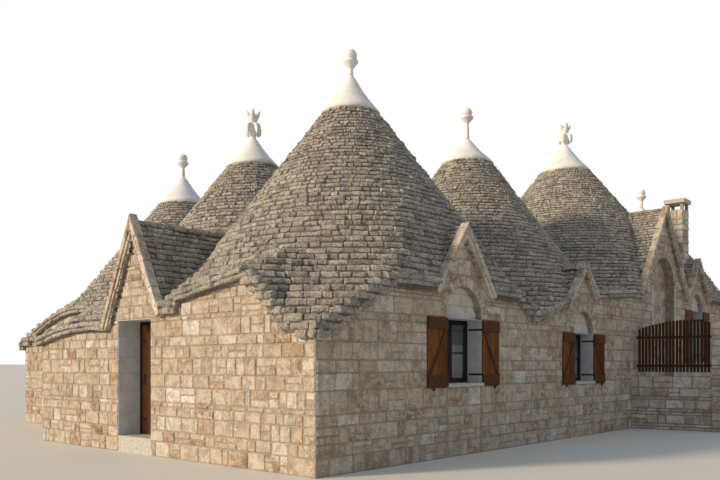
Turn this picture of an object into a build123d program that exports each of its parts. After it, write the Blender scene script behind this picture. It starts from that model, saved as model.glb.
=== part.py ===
from build123d import *
import os
from math import atan, cos, degrees, radians, sin

# A trullo house of six rooms, each under its own dry-stone cone.
# X runs along the front wall, Y goes in from it, Z is up and z 0 is the ground.
# The origin is on the ground at the near corner of the house.

os.makedirs("parts", exist_ok=True)

# Plan
wall_thick = 800
front_length = 20000
corner_room_end = 6050
middle_room_end = 11200
tall_room_end = 15600
end_room_depth = 4700
main_depth = 5900
entrance_depth = 8000
rear_room_left = 1985
rear_room_right = 7985
rear_depth = 13100
sky = 12000
cut_past = 10

# Roofs
eave_overhang = 100
slate_drop = 150
vault_drop = 500
skirt_reach = 5200
skirt_end_slope = 0.53
skirt_bend = 1200
cone_sides = 40

# Each cone: axis, plaster cap radius and foot height, pitch of the side,
# radius where the skirt flares and pitch of the skirt
cones = {
    "corner": (3550, 2556, 440, 6620, 1.333, 3000, 0.78),
    "middle": (8400, 3040, 510, 6670, 1.394, 3100, 0.70),
    "tall": (13420, 2900, 620, 7360, 1.270, 3700, 0.75),
    "end": (17230, 2100, 450, 6200, 1.180, 2600, 0.70),
    "entrance": (4000, 6000, 460, 6250, 1.310, 2700, 0.70),
    "rear": (4985, 10100, 540, 6080, 1.300, 2700, 0.70),
}
# Where the foot of a cone is flattened along the front wall: height of its edge
front_eave_tops = {"corner": 3170, "tall": 3670, "end": 3850}
front_eave_pitch = 2.2

# Where the foot of a cone is raised along a wall: the wall, how far it runs in, its rise
# and the line of its edge
raised_feet = {
    "corner": (
        "left",
        1300,
        0.45,
        [(550, 2150), (900, 2620), (1360, 2980), (1500, 3040), (3200, 2770), (3400, 2500)],
    ),
    "tall": ("front", 1400, 0.15, [(8850, 3230), (11900, 3480)]),
}

# Gables: place of the ridge along the wall, ridge height, side pitch, foot height, length inwards
gables = {
    "corner": (3650, 3980, 1.30, 2800, 500),
    "middle": (8380, 3800, 1.15, 2300, 600),
    "tall": (13350, 5790, 1.36, 3440, 1250),
    "end": (16000, 4650, 1.15, 3300, 500),
    "door": (4510, 4150, 2.00, 2250, 2750),
}
gable_vent = 70
gable_vent_height = 3350

# Windows: centre along the wall, sill height, width and height
window_frame_setback = 300
window_frame_depth = 60
window_frame_width = 60
glass_thick = 6
sill_thick = 60
sill_proud = 60
shutter_thick = 30
shutter_width = 565
ledge_height = 190
ledge_inset = 20
ledge_thick = 20
brace_width = 80

front_windows = {
    "corner": (3702, 1200, 1105, 1190),
    "middle": (8450, 1155, 960, 1120),
    "end": (16100, 1600, 980, 1560),
}
back_windows = {
    "middle": (9300, 1155, 960, 1120),
    "tall": (13000, 1155, 960, 1120),
}
side_window_centre = 10100
side_window = (1155, 960, 1120)

# Blind arches: one over each front window, and a tall one that stands on the ground
arch_recess = 120
arch_lift = 10
arch_foot = 50
tall_arch_centre = 13405
tall_arch_width = 1570
tall_arch_spring = 3685
tall_arch_recess = 250

# Doorway in the left wall
door_centre = 4560
door_width = 1060
door_head = 2390
door_setback = 450
door_frame = 60
door_thick = 50
door_gap = 8
door_frame_depth = 60
pintle_radius = 7
pintle_height = 60
pintle_gap = 0.3
pintle_plate_inset = 10
strap_length = 620
strap_width = 45
strap_thick = 5
pintle_heights = (260, 1700)
floor_top = 290

# Caps and finials: kind of finial, height of the plaster cap, length of the neck above it
finials = {
    "corner": ("ball", 650, 120),
    "middle": ("ball", 520, 380),
    "tall": ("crown", 740, 0),
    "end": ("ball", 520, 200),
    "entrance": ("crown", 580, 0),
    "rear": ("ball", 700, 220),
}
cap_neck = 55
cap_sides = 24
finial_sides = 20
ball_radius = 125
ball_sink = 30
ball_start = -50
ball_turn = 25
collar_radius = 155
collar_height = 170
collar_lip = 40
crown_height = 600
crown_bulb = 95
crown_reach = 200
crown_horn_reach = 145
crown_leaf_width = 90
crown_horn_width = 60
crown_leaves = 4

# Chimney
chimney_x = 15900
chimney_y = 500
chimney_width = 480
chimney_top = 6180
chimney_post = 80
chimney_post_height = 200
chimney_slab = 600
chimney_slab_thick = 120

# Garden wall with its fence panel
yard_start = 11270
yard_angle = -80.7
yard_length = 1820
yard_thick = 350
yard_height = 1300
yard_root = 200
pier_width = 450
pier_height = 2600
picket_width = 60
picket_thick = 25
picket_pitch = 78
picket_foot = 1400
picket_low_top = 2420
picket_rise = 240
picket_arc = 135
picket_margin = 80
rail_start = 80
rail_size = 60
rail_heights = (1550, 2250)


def box_between(low, high):
    """A plain block between two corners."""
    size = [high[i] - low[i] for i in range(3)]
    middle = [(high[i] + low[i]) / 2 for i in range(3)]
    with BuildPart(mode=Mode.PRIVATE) as block:
        with Locations(tuple(middle)):
            Box(*size)
    return block.part


def finish(piece, name):
    """Label a finished piece and write it."""
    piece.label = name
    export_step(piece, f"parts/{name}.step")


def largest(piece):
    """A roof without the thin chips that the valleys leave beside its shell."""
    return piece.solids().sort_by(SortBy.VOLUME)[-1]


def footprint(grow):
    """The plan of the house, its outer faces moved outwards by grow."""
    corners = [
        (0, 0),
        (front_length, 0),
        (front_length, end_room_depth),
        (tall_room_end, end_room_depth),
        (tall_room_end, main_depth),
        (rear_room_right, main_depth),
        (rear_room_right, rear_depth),
        (rear_room_left, rear_depth),
        (rear_room_left, entrance_depth),
        (0, entrance_depth),
    ]
    with BuildPart(mode=Mode.PRIVATE) as plan:
        with BuildSketch(Plane.XY):
            with BuildLine():
                Polyline(*corners, close=True)
            make_face()
            if grow:
                offset(amount=grow, kind=Kind.INTERSECTION)
        extrude(amount=sky)
    return plan.part


def cone_mass(name):
    """Everything below the outer face of one cone, down past the ground."""
    x, y, top_radius, top, pitch, knee_radius, skirt_pitch = cones[name]
    knee = top - pitch * (knee_radius - top_radius)
    bend_radius = knee_radius + skirt_bend
    bend = knee - skirt_pitch * skirt_bend
    foot = bend - skirt_end_slope * (skirt_reach - bend_radius)
    # Rings of the cone from the ground up: radius, height and pitch above it
    rings = [
        (skirt_reach, foot, skirt_end_slope),
        (bend_radius, bend, skirt_pitch),
        (knee_radius, knee, pitch),
    ]
    tops = [bend, knee, top]
    with BuildPart(mode=Mode.PRIVATE) as mass:
        with BuildSketch(Plane(origin=(x, y, -vault_drop))):
            RegularPolygon(skirt_reach, cone_sides, major_radius=False)
        extrude(amount=foot + vault_drop)
        for (radius, low, slope), high in zip(rings, tops):
            with BuildSketch(Plane(origin=(x, y, low))):
                RegularPolygon(radius, cone_sides, major_radius=False)
            extrude(amount=high - low, taper=degrees(atan(1 / slope)))
        if name in front_eave_tops:
            front_tilt = Plane(
                origin=(0, 0, front_eave_tops[name]),
                x_dir=(1, 0, 0),
                z_dir=(0, -front_eave_pitch, 1),
            )
            split(bisect_by=front_tilt, keep=Keep.BOTTOM)
        if name in raised_feet:
            side, inwards, rise, edge = raised_feet[name]
            if side == "left":
                face = Plane(origin=(-eave_overhang, 0, 0), x_dir=(0, 1, 0), z_dir=(1, 0, 0))
                run = (1, 0, rise)
                points = edge
            else:
                face = Plane(origin=(0, -eave_overhang, 0), x_dir=(-1, 0, 0), z_dir=(0, 1, 0))
                run = (0, 1, rise)
                points = [(-along, height) for along, height in edge]
            with BuildSketch(face):
                with BuildLine():
                    Polyline((points[0][0], 0), *points, (points[-1][0], 0), close=True)
                make_face()
            extrude(amount=eave_overhang + inwards, dir=run)
    return mass.part


def gable_prism(name, drop):
    """A gable's block below its sloping faces, lowered by drop."""
    along, ridge, pitch, foot, inwards = gables[name]
    half = (ridge - foot) / pitch
    base = foot - slate_drop
    if name == "door":
        face = Plane(origin=(-eave_overhang, along, 0), x_dir=(0, 1, 0), z_dir=(1, 0, 0))
    else:
        face = Plane(origin=(along, -eave_overhang, 0), x_dir=(-1, 0, 0), z_dir=(0, 1, 0))
    with BuildPart(mode=Mode.PRIVATE) as prism:
        with BuildSketch(face):
            with BuildLine():
                edge = foot - drop
                peak = ridge - drop
                upper = [(half, edge), (0, peak), (-half, edge)]
                lower = [] if drop else [(-half, base), (half, base)]
                Polyline(*lower, *upper, close=True)
            make_face()
        extrude(amount=eave_overhang + inwards)
    return prism.part


def wall_plane(side, along, height=0):
    """A plane on a wall's outer face: x along the wall, y up, z outwards."""
    if side == "front":
        return Plane(origin=(along, 0, height), x_dir=(1, 0, 0), z_dir=(0, -1, 0))
    if side == "back":
        return Plane(origin=(along, main_depth, height), x_dir=(-1, 0, 0), z_dir=(0, 1, 0))
    if side == "right":
        return Plane(origin=(rear_room_right, along, height), x_dir=(0, 1, 0), z_dir=(1, 0, 0))
    return Plane(origin=(0, along, height), x_dir=(0, -1, 0), z_dir=(-1, 0, 0))


def panel(plane, left, bottom, right, top, outer, inner):
    """A flat block on a wall plane, from depth outer to depth inner below its face."""
    with BuildPart(mode=Mode.PRIVATE) as block:
        with BuildSketch(plane.offset(-inner)):
            with Locations(((left + right) / 2, (bottom + top) / 2)):
                Rectangle(right - left, top - bottom)
        extrude(amount=inner - outer)
    return block.part


def arch(plane, width, bottom, spring, outer, inner):
    """A round-headed block on a wall plane."""
    half = width / 2
    with BuildPart(mode=Mode.PRIVATE) as block:
        with BuildSketch(plane.offset(-inner)):
            with BuildLine():
                Polyline((-half, spring), (-half, bottom), (half, bottom), (half, spring))
                CenterArc((0, spring), half, 0, 180)
            make_face()
        extrude(amount=inner - outer)
    return block.part


# Cone masses, and the same masses lowered to the underside of slates and vaults
masses = {name: cone_mass(name) for name in cones}
house_block = footprint(0)
eaves_block = footprint(eave_overhang)
rooms_block = footprint(-wall_thick)
gable_outer = {name: gable_prism(name, 0) for name in gables}
gable_inner = {name: gable_prism(name, slate_drop) for name in gables}

with BuildPart() as below_slates:
    for mass in masses.values():
        add(mass.moved(Location((0, 0, -slate_drop))))

with BuildPart() as below_vaults:
    for mass in masses.values():
        add(mass.moved(Location((0, 0, -vault_drop))))
    add(rooms_block, mode=Mode.INTERSECT)

with BuildPart() as over_walls:
    add(below_slates.part)
    add(rooms_block, mode=Mode.SUBTRACT)

with BuildPart() as wall_top:
    add(below_slates.part)
    for prism in gable_inner.values():
        add(prism)

chimney_half = chimney_width / 2
chimney_block = box_between(
    (chimney_x - chimney_half, chimney_y - chimney_half, 2000),
    (chimney_x + chimney_half, chimney_y + chimney_half, chimney_top),
)

# Roof cones
roof_done = []
for name, mass in masses.items():
    with BuildPart() as roof:
        add(mass)
        add(eaves_block, mode=Mode.INTERSECT)
        for other in roof_done:
            add(other, mode=Mode.SUBTRACT)
        add(over_walls.part, mode=Mode.SUBTRACT)
        add(below_vaults.part, mode=Mode.SUBTRACT)
        for prism in gable_outer.values():
            add(prism, mode=Mode.SUBTRACT)
        add(chimney_block, mode=Mode.SUBTRACT)
    roof_done.append(mass)
    finish(largest(roof.part), f"{name}_roof")

# Gable roofs
gables_done = []
for name, prism in gable_outer.items():
    with BuildPart() as gable_roof:
        add(prism)
        for inner in gable_inner.values():
            add(inner, mode=Mode.SUBTRACT)
        for other in gables_done:
            add(other, mode=Mode.SUBTRACT)
        add(over_walls.part, mode=Mode.SUBTRACT)
        add(below_vaults.part, mode=Mode.SUBTRACT)
        add(chimney_block, mode=Mode.SUBTRACT)
    gables_done.append(prism)
    finish(largest(gable_roof.part), f"{name}_gable_roof")

# Openings cut through the walls
wall_through = wall_thick + cut_past
wall_cuts = []
windows = [("front", *size) for size in front_windows.values()]
windows += [("back", *size) for size in back_windows.values()]
windows.append(("right", side_window_centre, *side_window))
for side, along, sill, width, height in windows:
    plane = wall_plane(side, along)
    half = width / 2
    wall_cuts.append(panel(plane, -half, sill, half, sill + height, -cut_past, wall_through))

door_plane = wall_plane("left", door_centre)
half_door = door_width / 2
wall_cuts.append(panel(door_plane, -half_door, 0, half_door, door_head, -cut_past, wall_through))
for along, sill, width, height in front_windows.values():
    spring = sill + height + arch_lift
    over_window = wall_plane("front", along)
    blind = arch(over_window, width, spring - arch_foot, spring, -cut_past, arch_recess)
    wall_cuts.append(blind)
tall_arch_plane = wall_plane("front", tall_arch_centre)
tall_blind = arch(
    tall_arch_plane, tall_arch_width, -cut_past, tall_arch_spring, -cut_past, tall_arch_recess
)
wall_cuts.append(tall_blind)
gable_vent_plane = wall_plane("front", gables["corner"][0], gable_vent_height)
half_vent = gable_vent / 2
vent = panel(
    gable_vent_plane, -half_vent, -half_vent, half_vent, half_vent, -cut_past, wall_through
)
wall_cuts.append(vent)

# Walls, each over its own stretch of the plan
left_door_side = door_centre - half_door
right_door_side = door_centre + half_door
wall_plots = {
    "corner_front_wall": (0, 0, corner_room_end, wall_thick),
    "middle_front_wall": (corner_room_end, 0, middle_room_end, wall_thick),
    "tall_front_wall": (middle_room_end, 0, tall_room_end, wall_thick),
    "end_front_wall": (tall_room_end, 0, front_length, wall_thick),
    "end_side_wall": (front_length - wall_thick, wall_thick, front_length, end_room_depth),
    "end_back_wall": (
        tall_room_end,
        end_room_depth - wall_thick,
        front_length - wall_thick,
        end_room_depth,
    ),
    "tall_side_wall": (
        tall_room_end - wall_thick,
        end_room_depth - wall_thick,
        tall_room_end,
        main_depth,
    ),
    "tall_back_wall": (
        middle_room_end,
        main_depth - wall_thick,
        tall_room_end - wall_thick,
        main_depth,
    ),
    "middle_back_wall": (rear_room_right, main_depth - wall_thick, middle_room_end, main_depth),
    "rear_right_wall": (
        rear_room_right - wall_thick,
        main_depth - wall_thick,
        rear_room_right,
        rear_depth,
    ),
    "rear_back_wall": (
        rear_room_left,
        rear_depth - wall_thick,
        rear_room_right - wall_thick,
        rear_depth,
    ),
    "rear_left_wall": (
        rear_room_left,
        entrance_depth - wall_thick,
        rear_room_left + wall_thick,
        rear_depth - wall_thick,
    ),
    "entrance_back_wall": (0, entrance_depth - wall_thick, rear_room_left, entrance_depth),
    "left_wall": (0, wall_thick, wall_thick, left_door_side),
    "door_head_wall": (0, left_door_side, wall_thick, right_door_side),
    "entrance_left_wall": (0, right_door_side, wall_thick, entrance_depth - wall_thick),
}
for name, (x0, y0, x1, y1) in wall_plots.items():
    with BuildPart() as wall:
        add(box_between((x0, y0, 0), (x1, y1, sky)))
        add(wall_top.part, mode=Mode.INTERSECT)
        for cut in wall_cuts:
            add(cut, mode=Mode.SUBTRACT)
    finish(wall.part, name)

# Floor inside, level with the doorstep
with BuildPart() as floor:
    add(rooms_block)
    add(box_between((0, 0, 0), (front_length, rear_depth, floor_top)), mode=Mode.INTERSECT)
finish(floor.part, "floor")

with BuildPart() as door_step:
    add(panel(door_plane, -half_door, 0, half_door, floor_top, 0, wall_thick))
finish(door_step.part, "door_step")

# Window frames, glass, sills and shutters
frames, panes, sills, shutters = [], [], [], []
for side, along, sill, width, height in windows:
    plane = wall_plane(side, along, sill)
    half = width / 2
    front_of_frame = window_frame_setback
    back_of_frame = window_frame_setback + window_frame_depth
    bar = window_frame_width
    with BuildPart() as frame:
        add(panel(plane, -half, sill_thick, half, height, front_of_frame, back_of_frame))
        for centre in (-1, 1):
            left = min(centre * bar / 2, centre * (half - bar))
            right = max(centre * bar / 2, centre * (half - bar))
            opening = panel(
                plane,
                left,
                sill_thick + bar,
                right,
                height - bar,
                front_of_frame,
                back_of_frame,
            )
            add(opening, mode=Mode.SUBTRACT)
            glass_depth = (front_of_frame + back_of_frame - glass_thick) / 2
            panes.append(
                panel(
                    plane,
                    left,
                    sill_thick + bar,
                    right,
                    height - bar,
                    glass_depth,
                    glass_depth + glass_thick,
                )
            )
    frames.append(frame.part)
    sills.append(panel(plane, -half, 0, half, sill_thick, -sill_proud, wall_thick))
    for hand in (-1, 1):
        near = hand * half
        far = hand * (half + shutter_width)
        left, right = min(near, far), max(near, far)
        low_ledge = (ledge_inset, ledge_inset + ledge_height)
        high_ledge = (height - ledge_inset - ledge_height, height - ledge_inset)
        face = -shutter_thick - ledge_thick
        with BuildPart() as shutter:
            add(panel(plane, left, 0, right, height, -shutter_thick, 0))
            for bottom, top in (low_ledge, high_ledge):
                add(panel(plane, left, bottom, right, top, face, 0))
            # The brace climbs from the outer foot to the hinge side
            with BuildSketch(plane.offset(shutter_thick)):
                with BuildLine():
                    Polyline(
                        (far, low_ledge[1]),
                        (far - hand * brace_width, low_ledge[1]),
                        (near, high_ledge[0]),
                        (near + hand * brace_width, high_ledge[0]),
                        close=True,
                    )
                make_face()
            extrude(amount=ledge_thick)
        shutters.append(shutter.part)

for solids, name in (
    (frames, "window_frames"),
    (panes, "window_glass"),
    (sills, "window_sills"),
    (shutters, "shutters"),
):
    with BuildPart() as group:
        for solid in solids:
            add(solid)
    finish(group.part, name)

# Door frame and leaf
door_back = door_setback + door_frame_depth
pin_across = -half_door + door_frame + door_gap / 2


def pin_plane(height):
    """A level plane on the line of the door's pintles."""
    centre = door_plane.from_local_coords((pin_across, height, -door_back - pintle_radius))
    return Plane(origin=centre)


with BuildPart() as door_lining:
    add(panel(door_plane, -half_door, floor_top, half_door, door_head, door_setback, door_back))
    add(
        panel(
            door_plane,
            -half_door + door_frame,
            floor_top,
            half_door - door_frame,
            door_head - door_frame,
            door_setback,
            door_back,
        ),
        mode=Mode.SUBTRACT,
    )
    # Pintles, on plates screwed to the frame's inner face
    for height in pintle_heights:
        foot = floor_top + height
        add(
            panel(
                door_plane,
                -half_door + pintle_plate_inset,
                foot - pintle_height,
                pin_across,
                foot,
                door_back,
                door_back + strap_thick,
            )
        )
        with BuildSketch(pin_plane(foot - pintle_height)):
            Circle(pintle_radius)
        extrude(amount=pintle_height)
finish(door_lining.part, "door_frame")

with BuildPart() as door_leaf:
    add(
        panel(
            door_plane,
            -half_door + door_frame + door_gap,
            floor_top + door_gap,
            half_door - door_frame - door_gap,
            door_head - door_frame - door_gap,
            door_back - door_thick,
            door_back,
        )
    )
    # Strap hinges that turn on the pintles
    for height in pintle_heights:
        foot = floor_top + height + pintle_gap
        add(
            panel(
                door_plane,
                pin_across,
                foot,
                pin_across + strap_length,
                foot + strap_width,
                door_back,
                door_back + strap_thick,
            )
        )
        with BuildSketch(pin_plane(foot)):
            Circle(pintle_radius)
        extrude(amount=strap_width)
finish(door_leaf.part, "door_leaf")

# Plaster caps and carved finials


def turned(foot, outline, sides):
    """A turned piece of stacked rings: outline gives radius and height, from its foot up."""
    x, y, level = foot
    with BuildPart(mode=Mode.PRIVATE) as piece:
        for (low_radius, low), (high_radius, high) in zip(outline, outline[1:]):
            wide, narrow = max(low_radius, high_radius), min(low_radius, high_radius)
            with BuildPart(mode=Mode.PRIVATE) as ring:
                with BuildSketch(Plane(origin=(x, y, level + low))):
                    RegularPolygon(wide, sides, major_radius=False)
                extrude(amount=high - low, taper=degrees(atan((wide - narrow) / (high - low))))
                if high_radius > low_radius:
                    waist = Plane(origin=(x, y, level + (low + high) / 2))
                    mirror(about=waist, mode=Mode.REPLACE)
            add(ring.part)
    return piece.part


def ball_finial(foot, neck):
    """A ball on a flared collar, above a neck of the given length."""
    lip = neck + collar_height
    middle = lip + ball_radius - ball_sink
    collar = [
        (cap_neck, 0),
        (cap_neck * 0.8, neck),
        (collar_radius, lip - collar_lip),
        (collar_radius * 0.93, lip),
    ]
    turns = [radians(ball_start + step * ball_turn) for step in range(6)]
    ball = [(ball_radius * cos(t), middle + ball_radius * sin(t)) for t in turns]
    with BuildPart(mode=Mode.PRIVATE) as finial:
        add(turned(foot, collar, finial_sides))
        add(turned(foot, ball, finial_sides))
    return finial.part


def crown_finial(foot):
    """A stem with leaves that hang outwards and, above them, horns."""
    # Shares of the crown's height and width: the stem, a hanging leaf and a horn
    shares = [(0, 0.58), (0.16, 0.75), (0.36, 1.0), (0.52, 0.62), (0.68, 0.95), (0.76, 0.6)]
    stem = [(crown_bulb * wide, crown_height * high) for high, wide in shares]
    leaf = [(0, 0.34), (0.5, 0.5), (0.85, 0.46), (1, 0.34), (1, 0.16)]
    leaf += [(0.86, 0.08), (0.76, 0.2), (0.62, 0.3), (0.35, 0.22)]
    horn = [(0, 0.6), (0.62, 0.68), (0.94, 0.84), (1, 1), (0.76, 0.92), (0.4, 0.84), (0, 0.8)]
    shapes = (
        (leaf, crown_reach, crown_leaf_width, 0),
        (horn, crown_horn_reach, crown_horn_width, 180 / crown_leaves),
    )
    with BuildPart(mode=Mode.PRIVATE) as finial:
        add(turned(foot, stem, finial_sides))
        for outline, reach, width, turn in shapes:
            for step in range(crown_leaves):
                angle = radians(turn + step * 360 / crown_leaves)
                outwards = (cos(angle), sin(angle), 0)
                sideways = (sin(angle), -cos(angle), 0)
                with BuildSketch(Plane(origin=foot, x_dir=outwards, z_dir=sideways)):
                    with BuildLine():
                        Polyline(*[(reach * a, crown_height * b) for a, b in outline], close=True)
                    make_face()
                extrude(amount=width / 2, both=True)
    return finial.part


cap_parts, ball_parts, crown_parts = [], [], []
for name, (x, y, top_radius, top, *rest) in cones.items():
    kind, cap_height, neck = finials[name]
    cap_outline = [
        (top_radius, 0),
        (0.66 * top_radius, 0.22 * cap_height),
        (0.36 * top_radius, 0.56 * cap_height),
        (cap_neck, cap_height),
    ]
    cap_parts.append(turned((x, y, top), cap_outline, cap_sides))
    foot = (x, y, top + cap_height)
    if kind == "crown":
        crown_parts.append(crown_finial(foot))
    else:
        ball_parts.append(ball_finial(foot, neck))

for solids, name in (
    (cap_parts, "plaster_caps"),
    (ball_parts, "ball_finials"),
    (crown_parts, "crown_finials"),
):
    with BuildPart() as group:
        for solid in solids:
            add(solid)
    finish(group.part, name)

# Chimney stack with its slab on four posts
with BuildPart() as chimney:
    add(chimney_block)
    add(wall_top.part, mode=Mode.SUBTRACT)
    post_reach = chimney_half - chimney_post / 2
    post_middle = chimney_top + chimney_post_height / 2
    with Locations((chimney_x, chimney_y, post_middle)):
        with GridLocations(2 * post_reach, 2 * post_reach, 2, 2):
            Box(chimney_post, chimney_post, chimney_post_height)
finish(chimney.part, "chimney_stack")

with BuildPart() as chimney_slab_part:
    slab_middle = chimney_top + chimney_post_height + chimney_slab_thick / 2
    with Locations((chimney_x, chimney_y, slab_middle)):
        Box(chimney_slab, chimney_slab, chimney_slab_thick)
finish(chimney_slab_part.part, "chimney_slab")

# Garden wall, pier and fence panel, on a line that leaves the front wall
yard_dir = (cos(radians(yard_angle)), sin(radians(yard_angle)), 0)
yard_plane = Plane(origin=(yard_start, 0, 0), x_dir=yard_dir, z_dir=(0, 0, 1))
with BuildPart() as yard_wall:
    with BuildSketch(yard_plane):
        with Locations(((yard_length - yard_root) / 2, 0)):
            Rectangle(yard_length + yard_root, yard_thick)
    extrude(amount=yard_height)
    add(house_block, mode=Mode.SUBTRACT)
finish(yard_wall.part, "garden_wall")

with BuildPart() as pier:
    with BuildSketch(yard_plane):
        with Locations((yard_length + pier_width / 2, 0)):
            Rectangle(pier_width, pier_width)
    extrude(amount=pier_height)
finish(pier.part, "garden_pier")

fence_plane = Plane(
    origin=(yard_start, 0, 0), x_dir=yard_dir, z_dir=(yard_dir[1], -yard_dir[0], 0)
)
first_picket = rail_start + picket_margin
picket_run = yard_length - picket_margin - first_picket
picket_gaps = round(picket_run / picket_pitch)
with BuildPart() as fence:
    for height in rail_heights:
        with BuildSketch(fence_plane):
            with Locations(((yard_length + rail_start) / 2, height)):
                Rectangle(yard_length - rail_start, rail_size)
        extrude(amount=rail_size / 2, both=True)
    # The tops of the pickets follow a low arc
    for step in range(picket_gaps + 1):
        place = first_picket + step * picket_run / picket_gaps
        top = picket_low_top + picket_rise * sin(radians(picket_arc * place / yard_length))
        with BuildSketch(fence_plane.offset(rail_size / 2)):
            with Locations((place, (picket_foot + top) / 2)):
                Rectangle(picket_width, top - picket_foot)
        extrude(amount=picket_thick)
finish(fence.part, "fence_panel")
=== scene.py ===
import math
import random

import bpy
import numpy as np
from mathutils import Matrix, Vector
from mathutils.bvhtree import BVHTree


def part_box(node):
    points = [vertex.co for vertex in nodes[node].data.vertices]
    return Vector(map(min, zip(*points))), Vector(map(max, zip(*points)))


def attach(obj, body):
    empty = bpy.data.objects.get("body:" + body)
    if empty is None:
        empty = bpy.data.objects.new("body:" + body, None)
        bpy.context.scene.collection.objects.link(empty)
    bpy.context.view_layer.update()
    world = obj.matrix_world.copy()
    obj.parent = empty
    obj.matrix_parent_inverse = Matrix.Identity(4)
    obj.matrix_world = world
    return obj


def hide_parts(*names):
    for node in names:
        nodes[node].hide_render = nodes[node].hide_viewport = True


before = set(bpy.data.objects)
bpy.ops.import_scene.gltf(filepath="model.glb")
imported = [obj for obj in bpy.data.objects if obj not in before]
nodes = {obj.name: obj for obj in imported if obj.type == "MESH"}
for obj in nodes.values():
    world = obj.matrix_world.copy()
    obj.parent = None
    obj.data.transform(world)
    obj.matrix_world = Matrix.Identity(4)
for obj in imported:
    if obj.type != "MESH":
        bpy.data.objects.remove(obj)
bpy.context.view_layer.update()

# Camera: level, 1.6 m above the ground, framed by lens shift
cameraView = {
    "place": (-7.52, -7.46, 1.6),
    "forward": (0.7502, 0.6622, 0.0),
    "lens": 38.0,
    "sensor": 36.0,
    "shiftUp": 0.172,
    "sight": 5000.0,
}

camData = bpy.data.cameras.new("camera")
camData.lens = cameraView["lens"]
camData.sensor_width = cameraView["sensor"]
camData.shift_y = cameraView["shiftUp"]
camData.clip_end = cameraView["sight"]
cam = bpy.data.objects.new("camera", camData)
cam.location = cameraView["place"]
cam.rotation_mode = "QUATERNION"
cam.rotation_quaternion = Vector(cameraView["forward"]).to_track_quat("-Z", "Y")
bpy.context.collection.objects.link(cam)
bpy.context.scene.camera = cam
print("camera placed")


# Colours and nodes
def srgb(code):  # "#rrggbb" as it looks on screen, to linear light
    parts = [int(code[i:i + 2], 16) / 255 for i in (1, 3, 5)]
    linear = [p / 12.92 if p <= 0.04045 else ((p + 0.055) / 1.055) ** 2.4 for p in parts]
    return (*linear, 1.0)


def addNode(tree, kind, links=None, sockets=None, **settings):
    node = tree.nodes.new(kind)
    for name, value in settings.items():
        setattr(node, name, value)
    for name, value in (sockets or {}).items():
        node.inputs[name].default_value = value
    for name, source in (links or {}).items():
        tree.links.new(source, node.inputs[name])
    return node


def newMaterial(name, sockets):
    material = bpy.data.materials.new(name)
    material.use_nodes = True
    tree = material.node_tree
    tree.nodes.clear()
    shader = addNode(tree, "ShaderNodeBsdfPrincipled", sockets=sockets)
    addNode(tree, "ShaderNodeOutputMaterial", {"Surface": shader.outputs["BSDF"]})
    return material, tree, shader


def colourRamp(tree, source, stops):
    ramp = addNode(tree, "ShaderNodeValToRGB", {"Fac": source})
    elements = ramp.color_ramp.elements
    while len(elements) < len(stops):
        elements.new(0.5)
    for element, (place, code) in zip(elements, stops):
        element.position = place
        element.color = srgb(code)
    return ramp.outputs["Color"]


def blendColour(tree, share, low, high, mode="MIX"):
    node = addNode(tree, "ShaderNodeMix", data_type="RGBA", blend_type=mode)
    for socket, value in ((node.inputs[0], share), (node.inputs[6], low), (node.inputs[7], high)):
        if hasattr(value, "is_linked"):
            tree.links.new(value, socket)
        else:
            socket.default_value = value
    return node.outputs[2]


def noiseAt(tree, metres, detail, rough=0.55, stretch=(1, 1, 1)):
    # noise whose blobs are about that many metres across
    place = addNode(tree, "ShaderNodeTexCoord").outputs["Object"]
    scaled = addNode(tree, "ShaderNodeMapping", {"Vector": place}, {"Scale": stretch})
    sockets = {"Scale": 1.0 / metres, "Detail": detail, "Roughness": rough}
    noise = addNode(tree, "ShaderNodeTexNoise", {"Vector": scaled.outputs["Vector"]}, sockets)
    return noise.outputs["Fac"]


def attributeValue(tree, name):
    return addNode(tree, "ShaderNodeAttribute", attribute_name=name).outputs["Fac"]


def paint(tree, shader, colour, height, strength, metres):
    # colour and bump of a finish; metres is the depth of the bump
    tree.links.new(colour, shader.inputs["Base Color"])
    sockets = {"Strength": strength, "Distance": metres}
    bump = addNode(tree, "ShaderNodeBump", {"Height": height}, sockets)
    tree.links.new(bump.outputs["Normal"], shader.inputs["Normal"])


# Weathered dry-stone limestone slates: split faces, grey lichen over beige stone, painted shade in
# the pits, fully matt
def slateStone():
    finish = {"Roughness": 0.95, "IOR": 1.5}
    material, tree, shader = newMaterial("weathered limestone slates", finish)
    tone = colourRamp(
        tree,
        attributeValue(tree, "tone"),
        [(0.0, "#9c9791"), (0.3, "#beb7ae"), (0.6, "#dad1c5"), (0.85, "#ece3d6"), (1.0, "#f6efe4")],
    )
    lichen = colourRamp(tree, noiseAt(tree, 0.22, 6.0), [(0.36, "#938e88"), (0.64, "#ebdfcd")])
    mixed = blendColour(tree, 0.42, tone, lichen)
    # fine pits: the near-black end of this ramp falls in the bump's hollows and is painted shade;
    # the rest is mottled grain
    pitsWithShade = noiseAt(tree, 0.045, 9.0, 0.8, (1, 1, 1.5))
    grain = colourRamp(tree, pitsWithShade, [(0.4, "#302e2c"), (0.485, "#e6e2dc"), (0.56, "#ffffff")])
    paint(tree, shader, blendColour(tree, 0.85, mixed, grain, "MULTIPLY"), pitsWithShade, 1.0, 0.05)
    return material


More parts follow.
